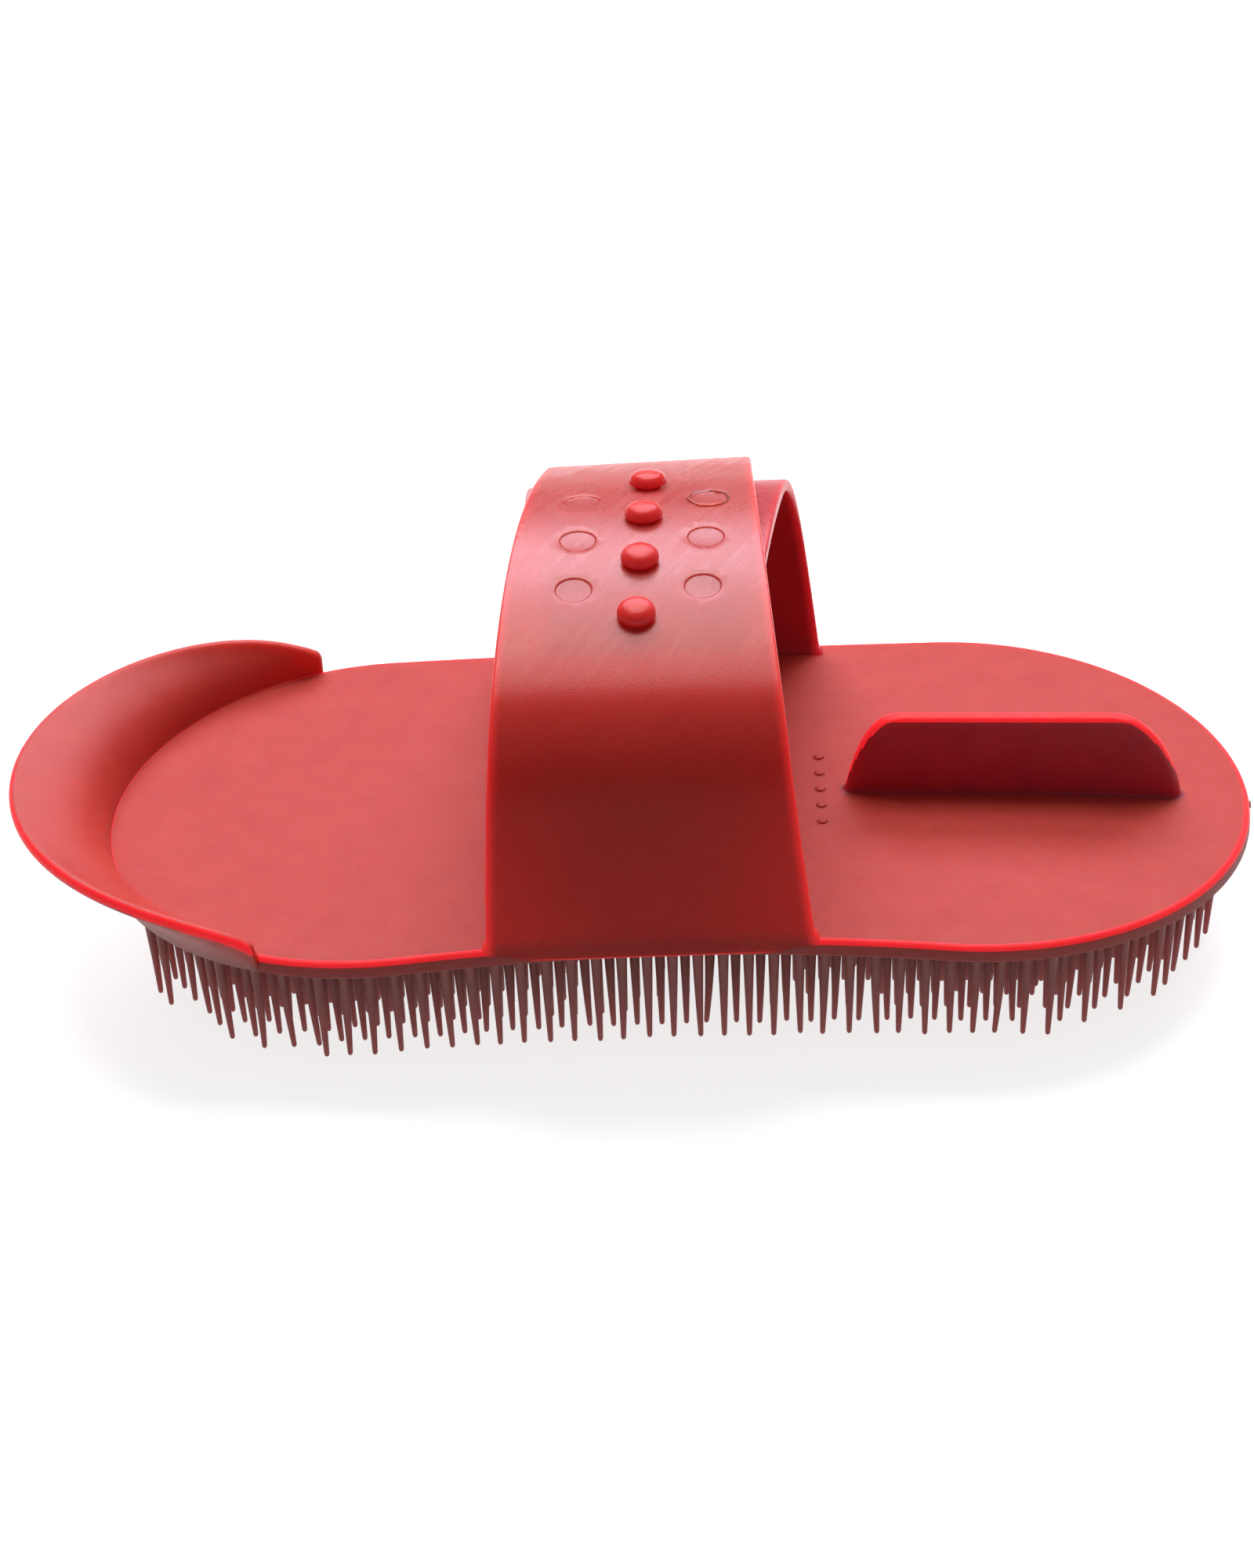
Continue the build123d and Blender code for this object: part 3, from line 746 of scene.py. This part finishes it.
def make_strap(name, place, length, half_width, centre_x, holes, marks, flashes=()):
    """A strap half as a bent sheet with rounded edges. place(distance, depth, x) gives a point;
    distance runs from the root to the free end. holes, marks and flashes, which are ragged raised
    rings, are (x, distance, radius)."""
    edge_round, hole_round = 0.55, 0.3
    corner, least_corner = 1.3, 0.25
    root_fillet, fillet_start, fillet_share = 0.8, root_sink + 1.4, 0.8

    def root_flare(at):
        """How much wider the strap is where it leaves the plate."""
        near = max(0.0, 1 - max(0.0, at - fillet_start) / root_fillet)
        return root_fillet * (1 - math.sqrt(max(0.0, 1 - near**2))) * fillet_share

    def outline(inset):
        """Loop of (x, distance), moved in by inset: up one side, over the free end, down the other."""
        loop = []
        steps, corner_steps = 70, 6
        end = length - inset
        radius = max(least_corner, corner - inset)
        for side in (1, -1):
            leg = []
            for k in range(steps + 1):
                at = lerp(inset, end - radius, (k / steps) ** 1.25)
                leg.append((centre_x(at) + side * (half_width(at) - inset + root_flare(at)), at))
            tip_x = centre_x(end) + side * (half_width(end) - inset - radius)
            for k in range(1, corner_steps + 1):
                angle = math.pi / 2 * k / corner_steps
                round_y = end - radius + radius * math.sin(angle)
                leg.append((tip_x + side * radius * math.cos(angle), round_y))
            loop += leg if side > 0 else leg[::-1]
        return loop

    def circle(x, at, radius, sides=48):
        turns = [2 * math.pi * k / sides for k in range(sides)]
        return [(x + radius * math.cos(turn), at + radius * math.sin(turn)) for turn in turns]

    # A mark's rounded wall: distance beyond its radius, and depth there.
    mark_steps = [(0.12, 0.0), (0.0, 0.06), (-0.12, 0.18), (-0.24, 0.26), (-0.36, 0.28)]
    hole_collar, hole_margin, mark_margin = 0.8, 1.2, 0.7
    flat, edges = [], []

    def add_loop(loop):
        first = len(flat)
        flat.extend(Vector(p) for p in loop)
        edges.extend((first + k, first + (k + 1) % len(loop)) for k in range(len(loop)))

    outer_loop = outline(edge_round)
    add_loop(outer_loop)
    for x, at, radius in holes:
        add_loop(circle(x, at, radius + hole_round))
        add_loop(circle(x, at, radius + hole_round + hole_collar))
    for x, at, radius in marks:
        for growth, _ in mark_steps:
            add_loop(circle(x, at, radius + growth))
    clear_of = [(x, at, radius + hole_round + hole_margin) for x, at, radius in holes]
    clear_of += [(x, at, radius + mark_margin) for x, at, radius in marks]
    spacing, side_margin, end_margin = 1.6, 0.7, 1.0
    for row in range(1, int(length / spacing)):
        at = row * spacing
        room = half_width(at) - edge_round - side_margin
        count = int(2 * room / spacing)
        for k in range(count + 1):
            x = centre_x(at) - room + 2 * room * k / count
            blocked = any((x - cx) ** 2 + (at - ca) ** 2 < reach**2 for cx, ca, reach in clear_of)
            if at < length - edge_round - end_margin and not blocked:
                flat.append(Vector((x, at)))
    found, _, triangles, _, _, _ = delaunay_2d_cdt(flat, edges, [], 0, 1e-5)

    def inside(spot):
        """Whether a place on the flat sheet is plastic, not past its outline or in a hole."""
        slack = 1e-3
        if not edge_round < spot.y < length - edge_round + slack:
            return False
        for x, at, radius in holes:
            if (spot.x - x) ** 2 + (spot.y - at) ** 2 < (radius + hole_round) ** 2:
                return False
        reach = half_width(spot.y) - edge_round + root_flare(spot.y)
        return abs(spot.x - centre_x(spot.y)) < reach + slack

    def dent(spot):
        """Depth of the outer face below its plain level, inside a mark."""
        for x, at, radius in marks:
            away = math.hypot(spot.x - x, spot.y - at) - radius
            if away <= mark_steps[0][0]:
                for (outer, deep_outer), (inner, deep_inner) in zip(mark_steps, mark_steps[1:]):
                    if away >= inner:
                        return lerp(deep_outer, deep_inner, (outer - away) / (outer - inner))
                return mark_steps[-1][1]
        return 0.0

    points, uvs, faces = [], [], []

    def add_point(x, at, depth):
        """A point of the mesh, with its place along the strap and its distance from the edge."""
        points.append(place(at, depth, x))
        from_side = half_width(at) - abs(x - centre_x(at))
        uvs.append((x / 100, at / 100, max(0.0, min(from_side, length - at)) / 10))
        return len(points) - 1

    kept = [t for t in triangles if inside((found[t[0]] + found[t[1]] + found[t[2]]) / 3)]
    for surface in (0.0, strap_thickness):
        first = len(points)
        for spot in found:
            add_point(spot.x, spot.y, dent(spot) if surface == 0 else surface)
        for t in kept:
            corners = [first + v for v in t]
            faces.append(corners if surface == 0 else corners[::-1])

    def add_skirt(loops):
        first = len(points)
        size = len(loops[0][0])
        for loop, depth in loops:
            for x, at in loop:
                add_point(x, at, depth)
        faces.extend(ring_faces(len(loops), size, first=first))

    rounding = round_edge(1.0, 5)
    both = [(share, depth, False) for share, depth in rounding]
    both += [(share, depth, True) for share, depth in reversed(rounding)]
    skirt = []
    for share, depth, far in both:
        level = strap_thickness - depth * edge_round if far else depth * edge_round
        skirt.append((outline(share * edge_round), level))
    add_skirt(skirt)
    for x, at, radius in holes:
        bore = []
        for share, depth, far in both:
            level = strap_thickness - depth * hole_round if far else depth * hole_round
            bore.append((circle(x, at, radius + share * hole_round), level))
        add_skirt(bore)
    chance = random.Random(11)
    flash_steps, flash_sides, flash_radius, flash_sink = 90, 6, 0.17, 0.1
    low_flash, high_flash = 0.04, 0.42
    for x, at, radius in flashes:
        first = len(points)
        wander, height = 0.0, 0.15
        for k in range(flash_steps):
            wander = 0.8 * wander + chance.gauss(0, 0.09)
            height = max(low_flash, min(high_flash, height + chance.gauss(0, 0.09)))
            ring_radius = radius + 0.15 + wander * math.sin(math.pi * k / flash_steps)
            angle = 2 * math.pi * k / flash_steps
            for side in range(flash_sides):
                turn = 2 * math.pi * side / flash_sides
                away = ring_radius + flash_radius * math.cos(turn)
                depth = -height * math.sin(turn) if math.sin(turn) > 0 else flash_sink
                add_point(x + away * math.cos(angle), at + away * math.sin(angle), depth)
        ring = ring_faces(flash_steps, flash_sides, first=first)
        last = first + (flash_steps - 1) * flash_sides
        for side in range(flash_sides):
            after = (side + 1) % flash_sides
            ring.append((last + side, last + after, first + after, first + side))
        faces.extend(ring)
    strap = make_object(name, points, faces, uvs)
    loose = bmesh.new()
    loose.from_mesh(strap.data)
    bmesh.ops.delete(loose, geom=[v for v in loose.verts if not v.link_faces], context="VERTS")
    bmesh.ops.recalc_face_normals(loose, faces=loose.faces)
    loose.to_mesh(strap.data)
    loose.free()
    return strap


def tuck(at, sign):
    """Moves the root inwards, so that the strap grows out of the plate's edge."""
    tuck_length, tuck_depth = 9.0, 0.3
    share = max(0.0, 1 - at / tuck_length)
    return Vector((sign * tuck_depth * share**2, 0))


def root_thickening(at):
    """The strap is thicker where it leaves the plate, like a fillet on its inner face."""
    full_length, fade_length, extra = root_sink + 1.6, 2.4, 0.45
    share = max(0.0, 1 - max(0.0, at - full_length) / fade_length)
    return 1 + extra * share**2


def front_place(at, depth, x):
    """The free end is a little askew: longer and slightly lifted on the +X side."""
    reach, longer, lift = 12, 1.8, 0.5
    across = (x - free_end_centre + free_end_half_width) / (2 * free_end_half_width)
    askew = smoothstep((at - front_length + reach) / reach) * across
    point, normal = profile_at(front_arcs, at + longer * askew)
    point = point + tuck(at, 1) - normal * (depth * root_thickening(at) - lift * askew)
    return (x, point.x, point.y)


def rear_place(at, depth, x):
    point, normal = profile_at(rear_arcs, rear_length - at)
    point = point + tuck(at, -1) - normal * depth * root_thickening(at)
    return (x, point.x, point.y)


# Half widths and centre lines at the root, round the corner and at the free end.
corner_distance = 41.0
front_half_width = [(0, 27.2), (corner_distance, 24.25), (front_length, free_end_half_width)]
front_centre = [(0, 2.8), (corner_distance, 1.8), (front_length, free_end_centre)]
rear_half_width = [(0, 27.2), (corner_distance, 22.9), (rear_length, 17.0)]
rear_centre = [(0, 6.4), (corner_distance, 6.4), (rear_length, 3.4)]

stud_distances = [first_stud_distance + k * stud_pitch for k in range(stud_count)]
mark_distances = [distance + stud_pitch / 2 for distance in stud_distances[:-1]]


def stud_line_x(distance):
    """X of the slightly slanted line of studs, this far back from the free end."""
    return first_stud_x + stud_line_slope * (distance - first_stud_distance)


front_holes = [
    (stud_line_x(distance), front_length - distance, stud_hole_radius) for distance in stud_distances
]
front_marks = [
    (stud_line_x(distance) + side * mark_side_offset, front_length - distance, mark_radius)
    for distance in mark_distances
    for side in (1, -1)
]

front = make_strap(
    "outer_strap",
    front_place,
    front_length,
    lambda at: through(front_half_width, at),
    lambda at: through(front_centre, at),
    front_holes,
    front_marks,
    front_marks[:1],
)
rear = make_strap(
    "inner_strap",
    rear_place,
    rear_length,
    lambda at: through(rear_half_width, at),
    lambda at: through(rear_centre, at),
    [],
    [],
)

# Each strap half gets its plastic, hides its CAD node and rides on no body; its transform is baked into
# the mesh.
for thing, node, half, plastic, side in (
    (front, "front_strap", "front_half", front_strap_plastic, -1),
    (rear, "rear_strap", "rear_half", shaded_rear_strap_plastic, 1),
):
    thing.data.set_sharp_from_angle(angle=math.radians(50))
    finish_piece(thing, plastic, None, [node])
    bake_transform(thing)


# ---------------------------------------------------------------- studs
def crown_frame(distance_from_end, x):
    """Point on the front half's outer face and its outward normal, back from the free end."""
    heading = free_end_heading + math.degrees(distance_from_end / crown_radius)
    normal = heading_normal(heading)
    spot = crown_centre + normal * crown_radius
    return Vector((x, spot.x, spot.y)), Vector((0, normal.x, normal.y))


def make_studs():
    """Mushroom studs: shank, undercut, soft-edged head with a low crown."""
    head_radius, shank_radius = 3.2, 2.0
    lift, height, side_height, dome_steps, sides = 0.4, 2.2, 0.5, 10, 48
    profile = [(shank_radius, -(rear_depth + 1.0)), (shank_radius, lift - 0.3), (shank_radius + 0.3, lift)]
    profile += [(head_radius - 0.35, lift), (head_radius - 0.1, lift + 0.1), (head_radius, lift + 0.35)]
    for k in range(1, dome_steps):
        angle = math.pi / 2 * k / dome_steps
        radius = head_radius * math.cos(angle) ** 0.75
        profile.append((radius, lift + side_height + (height - side_height) * math.sin(angle)))
    profile.append((0.12, lift + height))
    for index, distance in enumerate(stud_distances):
        origin, up = crown_frame(distance, stud_line_x(distance))
        side = Vector((1, 0, 0))
        front_way = up.cross(side)
        points, faces = [], []

        def place(u, v, h):
            return origin + side * u + front_way * v + up * h

        revolve(profile, sides, place, points, faces)
        stud = make_object(f"strap_stud_{index + 1}", points, faces)
        stud.data.set_sharp_from_angle(angle=math.radians(60))
        finish_piece(stud, lit_stud_plastic, "rear_half", [f"stud_{index + 1}"])


# ---------------------------------------------------------------- teeth
def row_ends(y, left_inset, right_inset):
    """Lowest and highest x inside the plate's outline at y, moved in by an inset at each end."""
    left_reach = math.sqrt(max(0.0, (left_radius - left_inset) ** 2 - y**2))
    right_reach = math.sqrt(max(0.0, (right_radius - right_inset) ** 2 - y**2))
    return left_centre_x - left_reach, right_centre_x + right_reach


def make_tooth_rows():
    """One piece for each row: its strip of the plate's underside and its slim tapered teeth. Most
    teeth lean by a hair; a few are cut short or bent further."""
    chance = random.Random(7)
    root_arch = arch_radius - plate_thickness
    sides, most_steps, taper_steps, taper_start = 14, 30, 8, 1.1
    root_fillet = [(0.75, -0.25), (0.55, 0.0), (0.26, 0.22), (0.09, 0.6)]
    short_share, bent_share, bent_more = 0.012, 0.022, 5
    strip_top = plate_thickness - strip_thickness
    for row in range(row_count):
        y = (row - (row_count - 1) / 2) * row_pitch
        points, faces = [], []
        columns, lines = 60, 4
        for depth in (strip_top, plate_thickness):
            for line in range(lines + 1):
                line_y = y + row_pitch * (line / lines - 0.5)
                low, high = row_ends(line_y, strip_edge, strip_edge)
                for k in range(columns + 1):
                    x = lerp(low, high, 0.5 - 0.5 * math.cos(math.pi * k / columns))
                    points.append((x, line_y, arch_z(x) - depth))
        width = columns + 1
        layer = width * (lines + 1)
        for line in range(lines):
            for k in range(columns):
                a = line * width + k
                faces.append((a, a + 1, a + width + 1, a + width))
                faces.append((a + layer + width, a + layer + width + 1, a + layer + 1, a + layer))
        for k in range(columns):
            last = lines * width
            faces.append((k, k + layer, k + layer + 1, k + 1))
            faces.append((last + k + 1, last + k + layer + 1, last + k + layer, last + k))
        for line in range(lines):
            a = line * width
            faces.append((a + width, a + width + layer, a + layer, a))
            b = a + columns
            faces.append((b, b + layer, b + width + layer, b + width))

        low, high = row_ends(y, left_tooth_edge, right_tooth_edge)
        shift = 0.0 if row % 2 else tooth_pitch / 2
        for step in range(-most_steps, most_steps + 1):
            angle = (step * tooth_pitch + shift) / root_arch
            x = waist_x + root_arch * math.sin(angle)
            lean_x, lean_y = chance.gauss(0, 0.22), chance.gauss(0, 0.16)
            length = tooth_length - abs(chance.gauss(0, 0.12))
            odd = chance.random()
            if odd < short_share:
                length *= chance.uniform(0.55, 0.85)
            elif odd < bent_share:
                lean_x *= bent_more
            if not low <= x <= high:
                continue
            foot = Vector((x, y, arch_centre_z + root_arch * math.cos(angle)))
            down = Vector((-math.sin(angle), 0, -math.cos(angle)))
            sideways = Vector((math.cos(angle), 0, -math.sin(angle)))
            profile = [(tooth_root_radius + wider, height) for wider, height in root_fillet]
            for k in range(1, taper_steps + 1):
                share = k / taper_steps
                radius = lerp(tooth_root_radius, tooth_tip_radius, share)
                profile.append((radius, lerp(taper_start, length - tooth_tip_radius, share)))
            profile += [(tooth_tip_radius * 0.72, length - 0.13), (tooth_tip_radius * 0.3, length - 0.01)]

            def place(u, v, h):
                bend = max(0.0, h / tooth_length) ** 2
                return foot + sideways * (u + lean_x * bend) + Vector((0, v + lean_y * bend, 0)) + down * h

            revolve(profile, sides, place, points, faces)
        teeth = make_object(f"teeth_row_{row + 1:02d}", points, faces)
        teeth.data.set_sharp_from_angle(angle=math.radians(60))
        finish_piece(teeth, tooth_plastic, "comb_back", [f"tooth_row_{row + 1:02d}"])


# ---------------------------------------------------------------- small raised details
def make_dots():
    """A short row of plain round dots on the plate."""
    count, sides = 5, 32
    centre_x = (dots_low.x + dots_high.x) / 2
    radius = (dots_high.x - dots_low.x) / 2
    points, faces = [], []
    for index in range(count):
        y = lerp(dots_low.y + radius, dots_high.y - radius, index / (count - 1))
        z = arch_z(centre_x)
        profile = [(radius, -0.3), (radius, 0.1), (radius * 0.93, 0.2), (radius * 0.75, 0.28)]
        profile += [(radius * 0.4, 0.33), (radius * 0.05, 0.345)]
        revolve(profile, sides, lambda u, v, h: (centre_x + u, y + v, z + h), points, faces)
    dots = make_object("raised_dots", points, faces)
    finish_piece(dots, back_plastic, "comb_back", ["mould_dots"])


def make_stub():
    """Torn remnant of the moulding gate: a small uneven lump, pale where the plastic stretched."""
    chance = random.Random(3)
    centre = (stub_low + stub_high) / 2
    half = (stub_high - stub_low) / 2
    rings, sides, roughness = 12, 20, 0.22
    points = []
    for ring in range(1, rings):
        polar = math.pi * ring / rings
        for k in range(sides):
            turn = 2 * math.pi * k / sides
            rough = 1 - roughness * chance.random()
            x = centre.x + half.x * math.cos(polar) * rough
            y = half.y * math.sin(polar) * math.cos(turn) * rough
            z = centre.z + half.z * math.sin(polar) * math.sin(turn) * rough
            points.append((x, y, z))
    stub = make_object("gate_remnant", points, ring_faces(rings - 1, sides, (True, True)))
    finish_piece(stub, stub_plastic, "comb_back", ["gate_stub"])


make_plate()
make_lip()
make_fin()
make_studs()
make_tooth_rows()
make_dots()
make_stub()


# ---------------------------------------------------------------- floor, light and camera
def make_floor():
    """A wide pale floor just below the tooth tips, bright enough to look white."""
    reach, gap_below = 6.0, 0.0006
    corners = [(-reach, -reach, 0), (reach, -reach, 0), (reach, reach, 0), (-reach, reach, 0)]
    mesh = bpy.data.meshes.new("floor")
    mesh.from_pydata(corners, [], [(0, 1, 2, 3)])
    floor = bpy.data.objects.new("floor", mesh)
    floor.location.z = -gap_below
    bpy.context.scene.collection.objects.link(floor)
    material = bpy.data.materials.new("floor_paper")
    material.use_nodes = True
    shader = material.node_tree.nodes["Principled BSDF"]
    shader.inputs["Base Color"].default_value = (0.6, 0.6, 0.6, 1)
    shader.inputs["Roughness"].default_value = 0.9
    shader.inputs["Specular IOR Level"].default_value = 0.1
    shader.inputs["Emission Color"].default_value = (1, 1, 1, 1)
    shader.inputs["Emission Strength"].default_value = 0.8
    mesh.materials.append(material)
    floor.visible_diffuse = False


def add_light(name, place, size, power, colour):
    """A soft rectangular light, in metres and watts, aimed at the comb."""
    aim = (0, 0, 0.05)
    light = bpy.data.lights.new(name, "AREA")
    light.shape = "RECTANGLE"
    light.size, light.size_y = size
    light.energy = power
    light.color = colour
    holder = bpy.data.objects.new(name, light)
    holder.location = place
    holder.rotation_mode = "QUATERNION"
    holder.rotation_quaternion = (Vector(aim) - Vector(place)).to_track_quat("-Z", "Y")
    bpy.context.scene.collection.objects.link(holder)


def make_camera():
    """Camera at the viewing angle: from the front, a third of the way up, with a slight roll."""
    pitch, yaw, roll = math.radians(32.755), math.radians(-1.083), math.radians(-2.544)
    distance = 1185.42 * MM
    lens, aim_right, aim_down = 160.3854, 0.00671, 0.00013
    target = Vector((-8.66, 3.76, plate_top_z)) * MM
    level = Vector((math.sin(yaw), math.cos(yaw), 0))
    forward = level * math.cos(pitch) - Vector((0, 0, math.sin(pitch)))
    right = Vector((math.cos(yaw), -math.sin(yaw), 0))
    up = right.cross(forward)
    tilted_right = right * math.cos(roll) + up * math.sin(roll)
    tilted_up = -right * math.sin(roll) + up * math.cos(roll)
    aim = (forward + tilted_right * aim_right - tilted_up * aim_down).normalized()
    cam_right = aim.cross(tilted_up).normalized()
    cam_up = cam_right.cross(aim)
    data = bpy.data.cameras.new("camera")
    data.lens = lens
    data.clip_start, data.clip_end = 0.05, 50
    camera = bpy.data.objects.new("camera", data)
    turn = Matrix((cam_right, cam_up, -aim)).transposed()
    camera.matrix_world = Matrix.Translation(target - forward * distance) @ turn.to_4x4()
    bpy.context.scene.collection.objects.link(camera)
    bpy.context.scene.camera = camera


make_floor()
add_light("window_behind", (0.1, 1.72, 1.48), (2.6, 0.8), 40, (1.0, 0.86, 1.0))
add_light("sky_above", (0, 0.8, 2.2), (1.7, 1.0), 33, (1.0, 0.98, 0.96))
world = bpy.data.worlds.new("studio")
world.use_nodes = True
world.node_tree.nodes["Background"].inputs["Color"].default_value = (1, 1, 1, 1)
world.node_tree.nodes["Background"].inputs["Strength"].default_value = 0.17
bpy.context.scene.world = world
bpy.context.scene.view_settings.view_transform = "Standard"
make_camera()
